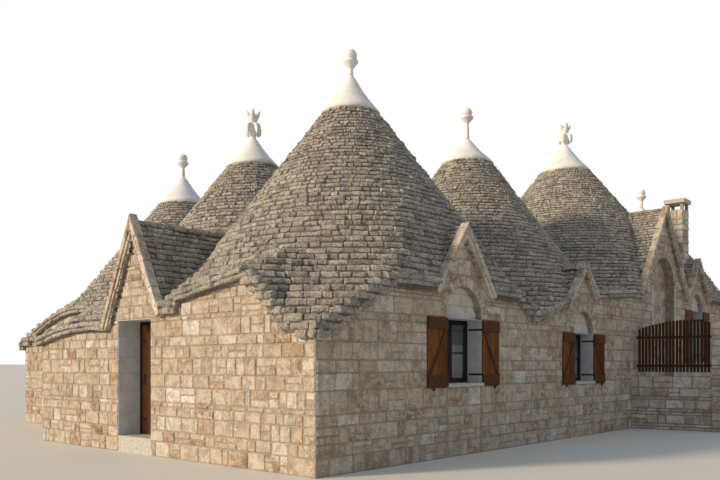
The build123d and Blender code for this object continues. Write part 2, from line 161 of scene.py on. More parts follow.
# Hewn limestone blocks: cream to pale honey, iron-brown stains, chalky and matt
def blockStone():
    finish = {"Roughness": 0.92, "IOR": 1.5}
    material, tree, shader = newMaterial("hewn limestone blocks", finish)
    tone = colourRamp(
        tree,
        attributeValue(tree, "tone"),
        [(0.0, "#c9b49c"), (0.3, "#d2c1ab"), (0.6, "#dacdbb"), (0.85, "#e3d9ca"), (1.0, "#ebe4d9")],
    )
    # some stones carry much more iron stain than the rest
    shares = [(0.0, "#1c1c1c"), (0.6, "#7c7c7c"), (1.0, "#f4f4f4")]
    stained = colourRamp(tree, attributeValue(tree, "stain"), shares)
    iron = colourRamp(tree, noiseAt(tree, 0.13, 7.0, 0.7), [(0.44, "#f8f1e8"), (0.6, "#b59077")])
    rusty = blendColour(tree, stained, tone, blendColour(tree, 1.0, tone, iron, "MULTIPLY"))
    lichen = colourRamp(tree, noiseAt(tree, 0.2, 7.0, 0.68), [(0.4, "#9d948a"), (0.56, "#ffffff")])
    greyed = blendColour(tree, 0.5, rusty, lichen, "MULTIPLY")
    grain = colourRamp(tree, noiseAt(tree, 0.025, 8.0, 0.7), [(0.34, "#a39b91"), (0.6, "#ffffff")])
    colour = blendColour(tree, 0.6, greyed, grain, "MULTIPLY")
    paint(tree, shader, colour, noiseAt(tree, 0.05, 8.0, 0.7), 0.7, 0.014)
    return material


# Stained softwood boards: long grain up the board, worn sheen
def stainedWood(name, dark, mid, light):
    finish = {"Roughness": 0.75, "Specular IOR Level": 0.25}
    material, tree, shader = newMaterial(name, finish)
    grain = noiseAt(tree, 0.012, 8.0, 0.65, (1.0, 1.0, 0.08))
    stain = colourRamp(tree, grain, [(0.3, dark), (0.5, mid), (0.75, light)])
    shades = [(0.0, "#858585"), (0.4, "#c4c4c4"), (1.0, "#ffffff")]
    tone = colourRamp(tree, attributeValue(tree, "tone"), shades)
    paint(tree, shader, blendColour(tree, 1.0, stain, tone, "MULTIPLY"), grain, 0.35, 0.002)
    return material


# Stone and plaster without a tone of their own: clouds of colour over a finer grain
def cloudedFinish(name, stops, rough, clouds, grain, bump):
    # clouds and grain: metres across, detail and roughness; bump: strength and metres
    material, tree, shader = newMaterial(name, {"Roughness": rough, "IOR": 1.5})
    colour = colourRamp(tree, noiseAt(tree, *clouds), stops)
    paint(tree, shader, colour, noiseAt(tree, *grain), *bump)
    return material


slates = slateStone()
blocks = blockStone()
# Lime mortar in the joints: sandy and darker than the stones; the darkness is partly weathering and
# partly painted shade in the joints
mortarAndJointShade = cloudedFinish(
    "weathered lime mortar", [(0.3, "#84786a"), (0.7, "#b5a896")],
    rough=0.97, clouds=(0.12, 6.0), grain=(0.02, 4.0), bump=(0.4, 0.004),
)
# Dressed limestone of the blind arches: rubbed smooth, pale, faintly clouded
dressed = cloudedFinish(
    "rubbed pale limestone", [(0.3, "#bdb1a2"), (0.5, "#d2c7b8"), (0.7, "#dfd6c9")],
    rough=0.9, clouds=(0.3, 7.0, 0.65), grain=(0.06, 6.0, 0.65), bump=(0.4, 0.004),
)
# Reveals of windows and doorway: old limewash, greyed and smooth
revealLime = cloudedFinish(
    "greyed limewash of the reveals", [(0.3, "#b9babb"), (0.6, "#cfd0d0")],
    rough=0.88, clouds=(0.2, 6.0), grain=(0.06, 6.0), bump=(0.3, 0.003),
)
# Rubble bed behind the slates, painted dark: painted shade in the gaps between the slates
bedShade = cloudedFinish(
    "rubble bed under the slates", [(0.3, "#4e473f"), (0.7, "#746a5d")],
    rough=1.0, clouds=(0.1, 6.0), grain=(0.06, 6.0), bump=(0.8, 0.02),
)
# Limewash over plaster: white, faint trowel waves and a little grime
lime = cloudedFinish(
    "brushed limewash on plaster", [(0.25, "#d3cec6"), (0.45, "#ebe8e2"), (0.7, "#f4f2ee")],
    rough=0.85, clouds=(0.3, 6.0), grain=(0.08, 5.0), bump=(0.35, 0.01),
)
# Sawn sill stone: light grey, fine and flat
sill = cloudedFinish(
    "sawn grey sill stone", [(0.3, "#aaa69e"), (0.7, "#cdc9c0")],
    rough=0.8, clouds=(0.06, 6.0), grain=(0.01, 4.0), bump=(0.3, 0.002),
)
shutterWood = stainedWood("brown stained shutter boards", "#3c1f07", "#7d4510", "#a5681f")
frameWood = stainedWood("dark stained window frames", "#1c120d", "#2c1d16", "#3b2a20")
doorWood = stainedWood("oiled door boards", "#53300f", "#7d4c20", "#a06c36")
fenceWood = stainedWood("brown stained pickets", "#40240d", "#744617", "#9a6730")
# Clear float glass: smooth, a little grey
glassFinish = {"Roughness": 0.05, "IOR": 1.5, "Transmission Weight": 0.9}
glass = newMaterial("clear window glass", {"Base Color": srgb("#cfd3d2"), **glassFinish})[0]
# Forged iron, painted black and half matt
ironFinish = {"Base Color": srgb("#17171a"), "Roughness": 0.5}
blackIron = newMaterial("black painted iron", ironFinish)[0]
# Off-white linen, thin and matt
linenFinish = {"Base Color": srgb("#cbc8c4"), "Roughness": 0.9}
curtainCloth = newMaterial("off-white linen", linenFinish)[0]
print("materials made")

roofNodes = [name for name in nodes if name.endswith("roof")]
coneNodes = [name for name in roofNodes if "gable" not in name]
gableNodes = [name for name in roofNodes if "gable" in name]
stoneNodes = [name for name in nodes if name.endswith(("_wall", "_pier", "_stack"))]
for material, names in (
    # the roofs, seen only between the slates, get the dark bed that is painted shade
    (bedShade, roofNodes),
    # stone walls show between the blocks as mortar darkened partly with painted joint shade
    (mortarAndJointShade, stoneNodes),
    (sill, ("chimney_slab", "floor", "door_step", "window_sills")),
    (lime, ("plaster_caps", "ball_finials", "crown_finials")),
    (frameWood, ("window_frames", "door_frame")),
    (glass, ("window_glass",)),
    (shutterWood, ("shutters",)),
    (doorWood, ("door_leaf",)),
    (fenceWood, ("fence_panel",)),
):
    for name in names:
        nodes[name].data.materials.clear()
        nodes[name].data.materials.append(material)


# Ray casting against groups of CAD nodes
def nodeTree(names):
    points, triangles, owners = [], [], []
    for index, name in enumerate(names):
        mesh = nodes[name].data
        start = len(points)
        points += [vertex.co.copy() for vertex in mesh.vertices]
        for polygon in mesh.polygons:
            corners = [start + v for v in polygon.vertices]
            for k in range(1, len(corners) - 1):
                triangles.append((corners[0], corners[k], corners[k + 1]))
                owners.append(index)
    return BVHTree.FromPolygons(points, triangles), owners


roofTree, roofOwners = nodeTree(roofNodes)
solidNodes = [name for name in nodes if name not in ("window_glass", "door_leaf")]
wholeTree, wholeOwners = nodeTree(solidNodes)
sky = 15.0
down = Vector((0, 0, -1))


def roofUnder(x, y):
    # height of the roof there and the index of the roof node seen from above
    hit = roofTree.ray_cast(Vector((x, y, sky)), down)
    if hit[0] is None:
        return None, None
    return hit[0].z, roofOwners[hit[2]]


def looseBoxes(name):
    # the box of each separate solid in a node
    mesh = nodes[name].data
    spots = {}
    ids = [spots.setdefault(tuple(round(c, 4) for c in v.co), len(spots)) for v in mesh.vertices]
    parent = list(range(len(spots)))

    def root(i):
        while parent[i] != i:
            parent[i] = parent[parent[i]]
            i = parent[i]
        return i

    for edge in mesh.edges:
        a, b = (root(ids[v]) for v in edge.vertices)
        parent[a] = b
    groups = {}
    for spot, i in spots.items():
        groups.setdefault(root(i), []).append(spot)
    boxes = []
    for group in groups.values():
        boxes.append([Vector([pick(s[k] for s in group) for k in range(3)]) for pick in (min, max)])
    return sorted(boxes, key=lambda b: tuple(b[0]))


def planCorners(name):
    # corners of an upright block's plan, counterclockwise
    spots = {(round(v.co.x, 3), round(v.co.y, 3)) for v in nodes[name].data.vertices}
    middle = Vector([sum(s[k] for s in spots) / len(spots) for k in range(2)])
    return sorted(
        (Vector(s) for s in spots), key=lambda s: math.atan2(s.y - middle.y, s.x - middle.x)
    )


# Stones and boards: seeds of the random draws, one for each kind of piece
seeds = {
    "cones": 100, "gables": 200, "walls": 300, "recess": 350, "tallRecess": 351, "yard": 360,
    "edges": 400, "shutters": 500, "straps": 501, "bars": 510, "linen": 511, "planks": 520,
    "doorIron": 521, "reveals": 530, "verges": 560, "ridges": 600, "skirts": 700,
    "wallCourses": 17, "recessCourses": 23, "jambCourses": 29, "yardCourses": 31,
}
stainSpread = 97.0


def meshFrom(name, points, faces, tones, material, body="house"):
    mesh = bpy.data.meshes.new(name)
    mesh.from_pydata([tuple(p) for p in points], [], faces)
    tones = np.asarray(tones, dtype=np.float32)
    # the stain is a second share for each stone, which doesn't go together with its tone
    for label, shares in (("tone", tones), ("stain", (tones * stainSpread) % 1.0)):
        mesh.attributes.new(label, "FLOAT", "POINT").data.foreach_set("value", shares)
    mesh.materials.append(material)
    piece = bpy.data.objects.new(name, mesh)
    bpy.context.collection.objects.link(piece)
    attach(piece, body)
    return piece


def roundEdges(piece, width):
    rounding = piece.modifiers.new("edges", "BEVEL")
    rounding.width = width
    rounding.segments = 2
    rounding.limit_method = "ANGLE"
    rounding.angle_limit = math.radians(30)


class Heap:
    # gathers stones or boards with a tone for each, then makes them one mesh
    def __init__(self, seed):
        self.random = random.Random(seed)
        self.points, self.faces, self.tones = [], [], []

    def make(self, name, material, slotName, bevel=0.0, body="house"):
        piece = meshFrom(name, self.points, self.faces, self.tones, material, body)
        if bevel:
            roundEdges(piece, bevel)
        return piece


def clamped(share):
    return min(max(share, 0.0), 1.0)


def toneOf(rnd, mean, spread):
    # a stone's own tone, a share from dark to pale
    return clamped(rnd.gauss(mean, spread))


def cutMarks(rnd, start, end, lengths, least, size=1.0):
    # joints along a course; the last stone is no shorter than least
    marks = [start]
    while marks[-1] < end:
        marks.append(marks[-1] + rnd.uniform(*lengths) * size)
    if len(marks) > 2 and end - marks[-2] < least:
        marks.pop()
    marks[-1] = end
    return marks


# Roof slates: slabs with a broken front edge, laid in level courses
slab = {
    "columns": (0.0, 0.07, 0.34, 0.64, 0.93, 1.0), "fewColumns": (0.0, 0.13, 0.87, 1.0),
    "fewBelow": 0.21, "endPull": 0.022, "endPullShare": (0.6, 1.3), "frontWobble": 0.016,
    "skew": 0.01, "grit": 0.003, "rise": 0.007, "backShare": 0.55,
    # outward and upward share of the section, from the bottom back to the top back
    "section": ((-1.0, 0.0), (-0.05, 0.0), (0.0, 0.22), (0.0, 0.66), (-0.1, 0.96), (-1.0, 1.0)),
    "sectionPull": (0.0, 0.018, 0.0, 0.006, 0.034, 0.0),
}
slateLook = {
    "foot": 1.97, "course": 0.118, "topCourse": 0.074, "thinFrom": 2.6, "thinTo": 5.6,
    "lengths": (0.12, 0.42), "topShare": 0.62, "leastRun": 0.036, "leastEnd": 0.06,
    "leastSlate": 0.025, "leastLong": 0.01, "joint": 0.006,
    "proud": 0.024, "proudShare": (-0.1, 1.1), "heightShare": (0.76, 0.98),
    "depth": 0.34, "depthShare": (0.9, 1.1), "backLift": 0.012, "tone": (0.5, 0.24),
    # rays that scan a roof: how many, how far out and how fine
    "angleSteps": 300, "radiusStep": 0.04, "reach": 5.4, "topRadius": 0.3, "beside": 0.1,
    # where a course breaks, and how it runs on past an edge or under the next roof
    "runBreak": 0.45, "pastEdge": 2, "leastFall": 0.001,
    "tuckStep": 0.02, "tuckSteps": 7, "tuckDeep": 0.04,
}


def thinning(level):
    # slates and courses get smaller from the eaves (0) to the caps (1)
    look = slateLook
    return clamped((level - look["thinFrom"]) / (look["thinTo"] - look["thinFrom"]))


def slabFaces(columns, hasBack):
    rows = len(slab["section"])
    last = (columns - 1) * rows
    faces = [tuple(range(rows)), tuple(range(last + rows - 1, last - 1, -1))]
    for a in range(0, last, rows):
        faces += [(a + r, a + rows + r, a + rows + r + 1, a + r + 1) for r in range(rows - 1)]
        if hasBack:
            faces.append((a, a + rows - 1, a + 2 * rows - 1, a + rows))
    return faces


class StoneHeap(Heap):
    # roof slabs; those that can be seen from behind get a back
    def __init__(self, seed, hasBack=False):
        super().__init__(seed)
        self.hasBack = hasBack

    def lay(self, start, end, outward, height, depth, tone, lift=0.0):
        # start and end are the front's lower corners, outward a level unit vector
        rnd = self.random
        base = len(self.points)
        along = end - start
        skew = rnd.uniform(-slab["skew"], slab["skew"])
        columns = slab["fewColumns"] if along.length < slab["fewBelow"] else slab["columns"]
        for share in columns:
            wobble = rnd.uniform(-1, 1) * slab["frontWobble"]
            rise = rnd.uniform(-1, 1) * slab["rise"]
            pull = 0.0
            if share in (0.0, 1.0):
                pull = slab["endPull"] * rnd.uniform(*slab["endPullShare"])
            for (out, up), drawn in zip(slab["section"], slab["sectionPull"]):
                isBack = out == -1.0
                shift = out * depth * (slab["backShare"] if isBack else 0.0)
                if not isBack:
                    grit = rnd.uniform(-1, 1) * slab["grit"]
                    shift = wobble - pull - drawn + (share - 0.5) * skew + grit
                point = start + along * share + outward * shift
                point.z += up * height + (lift if isBack else rise)
                self.points.append(point)
                self.tones.append(tone)
        quads = slabFaces(len(columns), self.hasBack)
        self.faces += [tuple(base + i for i in face) for face in quads]

    def course(self, path, height):
        # slates along an open line of points at one level, their fronts to its right
        look = slateLook
        rnd = self.random
        lengths = [0.0]
        for a, b in zip(path, path[1:]):
            lengths.append(lengths[-1] + (b - a).length)
        total = lengths[-1]
        if total < look["leastRun"]:
            return
        size = 1.0 + thinning(path[0].z) * (look["topShare"] - 1.0)
        marks = cutMarks(rnd, 0.0, total, look["lengths"], look["leastEnd"], size)

        def at(distance):
            i = min(max(int(np.searchsorted(lengths, distance)) - 1, 0), len(lengths) - 2)
            share = (distance - lengths[i]) / max(lengths[i + 1] - lengths[i], 1e-9)
            return path[i].lerp(path[i + 1], clamped(share))

        for a, b in zip(marks, marks[1:]):
            start, end = at(a), at(max(b - look["joint"], a + look["leastLong"]))
            along = end - start
            if along.length < look["leastSlate"]:
                continue
            outward = Vector((along.y, -along.x, 0)).normalized()
            push = outward * look["proud"] * rnd.uniform(*look["proudShare"])
            tone = toneOf(rnd, *look["tone"])
            tall = height * rnd.uniform(*look["heightShare"])
            deep = look["depth"] * rnd.uniform(*look["depthShare"])
            lift = rnd.uniform(0.0, look["backLift"])
            self.lay(start + push, end + push, outward, tall, deep, tone, lift)

    def make(self, name):
        super().make(name, slates, "roof_slates")


def slateCourses(top):
    # level and height of each course: all roofs and eaves share them
    look = slateLook
    level = look["foot"]
    while level < top:
        course = look["course"] + thinning(level) * (look["topCourse"] - look["course"])
        yield level, course
        level += course


def levelRuns(heights, spots, closed, level):
    # for one level, the stretches of its line over the scanned rays
    crossings = []
    for row, spot in zip(heights, spots):
        found = np.flatnonzero((row[:-1] >= level) & (row[1:] < level))
        if not len(found):
            crossings.append(None)
            continue
        i = found[-1]
        share = (row[i] - level) / max(row[i] - row[i + 1], 1e-6)
        origin, direction, first = spot
        point = origin + direction * (first + (i + share) * slateLook["radiusStep"])
        crossings.append(Vector((point.x, point.y, level)))
    count = len(crossings)
    offset = next((k for k, c in enumerate(crossings) if c is None), 0) if closed else 0
    order = [crossings[(offset + k) % count] for k in range(count + int(closed))]
    runs, run = [], []
    for point in order + [None]:
        far = run and point is not None and (point - run[-1]).length > slateLook["runBreak"]
        if point is None or far:
            if len(run) > 1:
                runs.append(run)
            run = []
        if point is not None:
            run.append(point)
    return [tuckEnds(run, level) for run in runs]


def tuckEnds(run, level):
    # each end runs on until it is hidden under the next roof, or to the end of the roof
    def walk(end, before):
        step = (end - before).normalized() * slateLook["tuckStep"]
        for k in range(slateLook["tuckSteps"]):
            z, who = roofUnder(end.x + step.x, end.y + step.y)
            if who is None:
                break
            end = end + step
            if z > level + slateLook["tuckDeep"]:
                break
        return end

    return [walk(run[0], run[1])] + run[1:-1] + [walk(run[-1], run[-2])]


def scanHeights(owner, spots, count):
    heights = np.full((len(spots), count), np.nan)
    for k, (origin, direction, first) in enumerate(spots):
        for r in range(count):
            place = origin + direction * (first + r * slateLook["radiusStep"])
            z, who = roofUnder(place.x, place.y)
            if who == owner:
                heights[k, r] = z
        # the slope goes on a little past each edge, so that no course stops short of it
        row = heights[k]
        for r in np.flatnonzero(~np.isnan(row[1:-1]) & ~np.isnan(row[:-2]) & np.isnan(row[2:])) + 1:
            fall = min(row[r] - row[r - 1], -slateLook["leastFall"])
            for past in range(1, slateLook["pastEdge"] + 1):
                if r + past < count:
                    row[r + past] = row[r] + fall * past
    return heights


def dressRoof(heap, owner, spots, count, closed, top):
    # courses from the lowest visible slope of one roof node up to its top
    heights = scanHeights(owner, spots, count)
    for level, course in slateCourses(top):
        for run in levelRuns(heights, spots, closed, level):
            heap.course(run, course)


# Skirts of plaster: they lap each cap's foot over the top slates and fill out its sides
capSkirt = {
    "drop": 0.12, "slatesEnd": 0.17, "flare": 0.135, "lip": 0.05, "lap": 0.012, "under": 0.02,
    "sides": 72, "wave": 0.01, "fill": 0.62, "topIn": 0.02, "topUp": 0.02, "leastUp": 0.005,
    "outside": 1.5,
    # shares of the cap's height at which the skirt follows it
    "follow": (0.0, 0.08, 0.18, 0.3, 0.42, 0.54, 0.66, 0.78, 0.88),
}
capBoxes = looseBoxes("plaster_caps")


def turned(k, count):
    angle = 2 * math.pi * k / count
    return Vector((math.cos(angle), math.sin(angle), 0))


def dressCone(index, low, high):
    look = slateLook
    centre = Vector(((low.x + high.x) / 2, (low.y + high.y) / 2, 0))
    owner = roofUnder(centre.x, centre.y - (high.x - low.x) / 2 - look["beside"])[1]
    steps = look["angleSteps"]
    spots = [(centre, turned(k, steps), look["topRadius"]) for k in range(steps)]
    count = int((look["reach"] - look["topRadius"]) / look["radiusStep"])
    heap = StoneHeap(seeds["cones"] + index)
    dressRoof(heap, owner, spots, count, True, low.z - capSkirt["slatesEnd"])
    name = roofNodes[owner].replace("_roof", "_slates")
    heap.make(name)
    print(name, "laid,", len(heap.faces), "faces")


for index, (low, high) in enumerate(capBoxes):
    dressCone(index, low, high)

# Gable roofs: courses on both slopes
gableLook = {"step": 0.05, "end": 0.01, "underRidge": 0.06}


def gableAxes(name):
    # box, direction of the ridge, middle of the plan, depth along the ridge and half span
    low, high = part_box(name)
    long, short = (0, 1) if name.startswith("door") else (1, 0)
    ridge = Vector([float(k == long) for k in range(3)])
    middle = Vector(((low[0] + high[0]) / 2, (low[1] + high[1]) / 2, 0))
    return low, high, ridge, middle, high[long] - low[long], (high[short] - low[short]) / 2


def dressGable(index, name):
    _, high, ridge, middle, deep, half = gableAxes(name)
    across = Vector((ridge.y, ridge.x, 0))
    front = middle - ridge * (deep / 2)
    heap = StoneHeap(seeds["gables"] + index)
    look = gableLook
    steps = int(deep / look["step"])
    rays = int(half / slateLook["radiusStep"]) + 2
    for hand in (-1, 1):
        spots = []
        for k in range(steps + 1):
            place = look["end"] + k * (deep - 2 * look["end"]) / steps
            spots.append((front + ridge * place, across * hand, look["end"]))
        # slabs face the right of the line, so one slope runs back to front
        if Vector((ridge.y, -ridge.x, 0)).dot(across * hand) < 0:
            spots.reverse()
        owner = roofNodes.index(name)
        dressRoof(heap, owner, spots, rays, False, high[2] - look["underRidge"])
    heap.make(name.replace("_gable_roof", "_gable_slates"))


for index, name in enumerate(gableNodes):
    dressGable(index, name)
print("gable slates laid")


# Walls: one side for each outer face of the plan, counterclockwise, outside on the right
def side(start, end, offset=0.0, ends=("_wall", "pier", "stack")):
    start, end = (Vector((*spot[:2], 0)) for spot in (start, end))
    unit = (end - start).normalized()
    return {
        "start": start, "unit": unit, "outward": Vector((unit.y, -unit.x, 0)),
        "length": (end - start).length, "offset": offset,
        "skin": [name.endswith(ends) for name in solidNodes],
    }


def onFace(face, a, out, z=0.0):
    # the point that far along a side and that far in front of it
    spot = face["start"] + face["unit"] * a + face["outward"] * out
    return Vector((spot.x, spot.y, z))


def sidesOf(corners):
    return list(zip(corners, corners[1:] + corners[:1]))


def planOf():
    endX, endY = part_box("end_side_wall")[1][:2]
    tallX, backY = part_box("tall_side_wall")[1][0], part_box("tall_back_wall")[1][1]
    rearX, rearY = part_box("rear_right_wall")[1][:2]
    leftX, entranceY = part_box("rear_left_wall")[0][0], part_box("entrance_back_wall")[1][1]
    return [
        (0, 0), (endX, 0), (endX, endY), (tallX, endY), (tallX, backY), (rearX, backY),
        (rearX, rearY), (leftX, rearY), (leftX, entranceY), (0, entranceY),
    ]


plan = planOf()
skinLook = {
    "away": 0.6, "limit": 0.013, "ringIn": 0.05, "springSlack": 0.001,
    # search of a side: rounds of halving, steps along it and tries up a column
    "halvings": 7, "step": 0.035, "end": 0.004, "tries": 5,
}


def isSkin(face, a, z):
    # whether the outer skin is there, clear of arch stones and of slabs already laid
    if any(first < a < last for first, last in face.get("laid", ())):
        return False
    away, ringIn = skinLook["away"], skinLook["ringIn"]
    hit = wholeTree.ray_cast(onFace(face, a, away, z), -face["outward"], 2 * away)
    if hit[0] is None or abs(hit[3] - away - face["offset"]) > skinLook["limit"]:
        return False
    for a0, z0, inner, outer, jamb in face.get("rings", ()):
        gap = math.hypot(a - a0, z - z0)
        if z > z0 - skinLook["springSlack"] and inner - ringIn < gap < outer:
            return False
        if z <= z0 and inner - ringIn < abs(a - a0) < inner + jamb:
            return False
    return face["skin"][wholeOwners[hit[2]]]


def edgeBetween(face, good, bad):
    # the last spot of the skin between one spot on it and one off it
    for step in range(skinLook["halvings"]):
        middle = ((good[0] + bad[0]) / 2, (good[1] + bad[1]) / 2)
        if isSkin(face, *middle):
            good = middle
        else:
            bad = middle
    return good


def rowIntervals(face, heights):
    # stretches along the face where any of these heights is on its skin
    end = skinLook["end"]
    count = max(int(face["length"] / skinLook["step"]), 2)
    marks = [end + k * (face["length"] - 2 * end) / count for k in range(count + 1)]
    state = [next((z for z in heights if isSkin(face, a, z)), None) for a in marks]
    intervals, start = [], None
    for k, z in enumerate(state):
        if z is not None and start is None:
            start = marks[0] if k == 0 else edgeBetween(face, (marks[k], z), (marks[k - 1], z))[0]
        if start is None or (z is not None and k < count):
            continue
        stop = marks[k]
        if z is None:
            known = state[k - 1]
            stop = edgeBetween(face, (marks[k - 1], known), (marks[k], known))[0]
        intervals.append((start, stop))
        start = None
    return intervals


def columnSpan(face, a, bottom, top):
    # the part of an upright line that lies on the skin
    last = skinLook["tries"] - 1
    heights = [bottom + (top - bottom) * k / last for k in range(last + 1)]
    good = [k for k, z in enumerate(heights) if isSkin(face, a, z)]
    if not good:
        return None
    low, high = heights[good[0]], heights[good[-1]]
    if good[0] > 0:
        low = edgeBetween(face, (a, low), (a, heights[good[0] - 1]))[1]
    if good[-1] < last:
        high = edgeBetween(face, (a, high), (a, heights[good[-1] + 1]))[1]
    return low, high


blockLook = {
    "sunk": -0.003, "uneven": 0.0025, "bevelMost": 0.4, "columnStep": 0.1,
    "leastTall": 0.03, "leastLong": 0.035, "leastEnd": 0.7, "probe": 0.02,
    "splitAt": (0.42, 0.58), "meanTone": 0.5, "toneSpread": 0.22,
    # arch stones: share of their angle they fill, places of their columns, gap to the wall
    "ringFill": (0.035, 0.965), "ringColumns": (0, 0.08, 0.5, 0.92, 1), "ringGap": 0.004,
    "ringTone": (0.6, 0.2), "ringStones": 26,
}


class BlockHeap(Heap):
    # stones laid on upright faces, each a pillow with bevelled edges
    def __init__(self, seed, meanTone=blockLook["meanTone"]):
        super().__init__(seed)
        self.meanTone = meanTone

    def pillow(self, face, columns, proud, bevel, tone):
        # columns are pairs of (along, height), at the lower and at the upper edge
        look = blockLook
        base, last = len(self.points), len(columns) - 1
        for k, (low, high) in enumerate(columns):
            tall = math.hypot(high[0] - low[0], high[1] - low[1])
            share = min(bevel / tall, look["bevelMost"]) if tall > 1e-5 else 0.0
            for row, part in enumerate((0, share, 0.5, 1 - share, 1)):
                depth = look["sunk"]
                if 0 < row < 4 and 0 < k < last:
                    depth = proud + self.random.uniform(-look["uneven"], look["uneven"])
                a, z = (low[i] + (high[i] - low[i]) * part for i in (0, 1))
                self.points.append(onFace(face, a, depth - face["offset"], z))
                self.tones.append(tone)
        for v in (base + k * 5 + r for k in range(last) for r in range(4)):
            self.faces.append((v, v + 5, v + 6, v + 1))

    def block(self, face, a0, a1, bottom, top, opts, tone=None):
        bevel = opts["bevel"]
        inner = max(int((a1 - a0) / blockLook["columnStep"]), 1)
        places = [a0, a0 + bevel]
        places += [a0 + bevel + (a1 - a0 - 2 * bevel) * k / inner for k in range(1, inner)]
        places += [a1 - bevel, a1]
        spans = [columnSpan(face, a, bottom, top) for a in places]
        known = [span for span in spans if span]
        if not known:
            return
        columns = []
        for a, span in zip(places, spans):
            if span is None:
                near = known[0] if a < (a0 + a1) / 2 else known[-1]
                span = ((near[0] + near[1]) / 2,) * 2
            columns.append(((a, span[0]), (a, span[1])))
        if max(high[1] - low[1] for low, high in columns) < blockLook["leastTall"]:
            return
        proud = self.random.uniform(*opts["proud"])
        if tone is None:
            tone = toneOf(self.random, self.meanTone, blockLook["toneSpread"])
        self.pillow(face, columns, proud, bevel, tone)

    def courses(self, face, levels, opts):
        look, rnd = blockLook, self.random
        joint, probe = opts["joint"] / 2, look["probe"]
        for bottom, top in zip(levels, levels[1:]):
            tall = top - bottom
            heights = ((bottom + top) / 2, bottom + probe, top - probe)
            for a0, a1 in rowIntervals(face, heights):
                least = opts["lengths"][0] * look["leastEnd"]
                marks = cutMarks(rnd, a0, a1, opts["lengths"], least)
                for b0, b1 in zip(marks, marks[1:]):
                    left = b0 if b0 == a0 else b0 + joint
                    right = b1 if b1 == a1 else b1 - joint
                    if right - left < look["leastLong"]:
                        continue
                    cuts = [bottom, top]
                    if tall > opts["splitOver"] and rnd.random() < opts["splitShare"]:
                        cuts.insert(1, bottom + tall * rnd.uniform(*look["splitAt"]))
                    for low, high in zip(cuts, cuts[1:]):
                        self.block(face, left, right, low + joint, high - joint, opts)

    def ring(self, face, a0, z0, inner, outer, opts):
        # voussoirs of a half-round arch
        look = blockLook
        count = int(outer * look["ringStones"])
        for k in range(count):
            start, end = (math.pi * (k + share) / count for share in look["ringFill"])
            columns = []
            for share in look["ringColumns"]:
                angle = math.pi - (start + (end - start) * share)
                columns.append([
                    (a0 + reach * math.cos(angle), z0 + reach * math.sin(angle))
                    for reach in (inner + look["ringGap"], outer - look["ringGap"])
                ])
            tone = toneOf(self.random, *look["ringTone"])
            self.pillow(face, columns, self.random.uniform(*opts["proud"]), opts["bevel"], tone)

    def make(self, name, material=blocks):
        super().make(name, material, "limestone_blocks")


courseLook = {"rise": (0.15, 0.29), "thin": 0.075, "thinShare": 0.16, "snap": (0.7, 1.25)}


def courseLevels(seedName, bottom, top, snaps, rise, index=0):
    # levels of the joints: now and then a thin course, and one on each snap
    look = courseLook
    rnd = random.Random(seeds[seedName] + index)
    low, high = rise[0] * look["snap"][0], rise[1] * look["snap"][1]
    levels = [bottom]
    while levels[-1] < top:
        isThin = rnd.random() < look["thinShare"]
        step = look["thin"] if isThin else rnd.uniform(*rise)
        snap = [s for s in snaps if low < s - levels[-1] < high]
        levels.append(snap[0] if snap else levels[-1] + step)
    return levels


wallStones = {
    "lengths": (0.13, 0.5), "joint": 0.012, "bevel": 0.016,
    "proud": (0.008, 0.02), "splitOver": 0.17, "splitShare": 0.22,
}
yardStones = {
    "lengths": (0.16, 0.46), "joint": 0.02, "bevel": 0.016,
    "proud": (0.012, 0.022), "splitOver": 0.17, "splitShare": 0.18,
}
smoothStones = {
    "lengths": (0.4, 0.8), "joint": 0.006, "bevel": 0.004,
    "proud": (0.003, 0.006), "splitOver": 9, "splitShare": 0.0,
}
# Arches over the front windows, then the tall blind arch
arches = {
    "ringWidth": 0.19, "lift": 0.01, "recess": 0.12, "foot": 0.05, "rise": (0.2, 0.28),
    "frontDepth": 1.0,
}
tallArch = {
    "centre": 13.405, "width": 1.57, "spring": 3.685, "line": 3.4, "jamb": 0.1, "foot": 0.0,
    "ringWidth": 0.15, "recess": 0.25, "jambRise": (0.3, 0.45), "jambJoint": 0.002,
    "jambTone": 0.9,
}
wallLook = {
    "top": 6.0, "frameNear": 0.5, "yardTone": 0.8, "yardRise": (0.15, 0.24),
    "leastSide": 0.2, "stackTop": 0.2, "slack": 0.001,
}
frameBoxes = looseBoxes("window_frames")


def archRings():
    # centre, spring, inner and outer radius, and the width of jamb stones below
    rings = []
    for low, high in frameBoxes:
        if high.y < arches["frontDepth"]:
            half = (high.x - low.x) / 2
            spring = high.z + arches["lift"]
            rings.append(((low.x + high.x) / 2, spring, half, half + arches["ringWidth"], 0.0))
    half = tallArch["width"] / 2
    outer = half + tallArch["ringWidth"]
    rings.append((tallArch["centre"], tallArch["spring"], half, outer, tallArch["jamb"]))
    return rings


rings = archRings()


def dressHouse():
    names = (
        "front", "right_end", "end_back", "tall_side", "main_back", "rear_right", "rear_back",
        "rear_left", "entrance_back", "left",
    )
    for index, (start, end) in enumerate(sidesOf(plan)):
        face = side(start, end)
        heap = BlockHeap(seeds["walls"] + index)
        snaps = set()
        for low, high in frameBoxes:
            gap = abs(((low + high) / 2 - face["start"]).dot(face["outward"]))
            if gap < wallLook["frameNear"]:
                snaps |= {round(low.z, 3), round(high.z, 3)}
        if index == 0:
            face["rings"] = rings
            for ring in rings:
                heap.ring(face, *ring[:4], wallStones)
        rise = courseLook["rise"]
        levels = courseLevels("wallCourses", 0.0, wallLook["top"], sorted(snaps), rise)
        heap.courses(face, levels, wallStones)
        name = names[index] + "_blocks"
        heap.make(name)
        print(name, len(heap.faces))


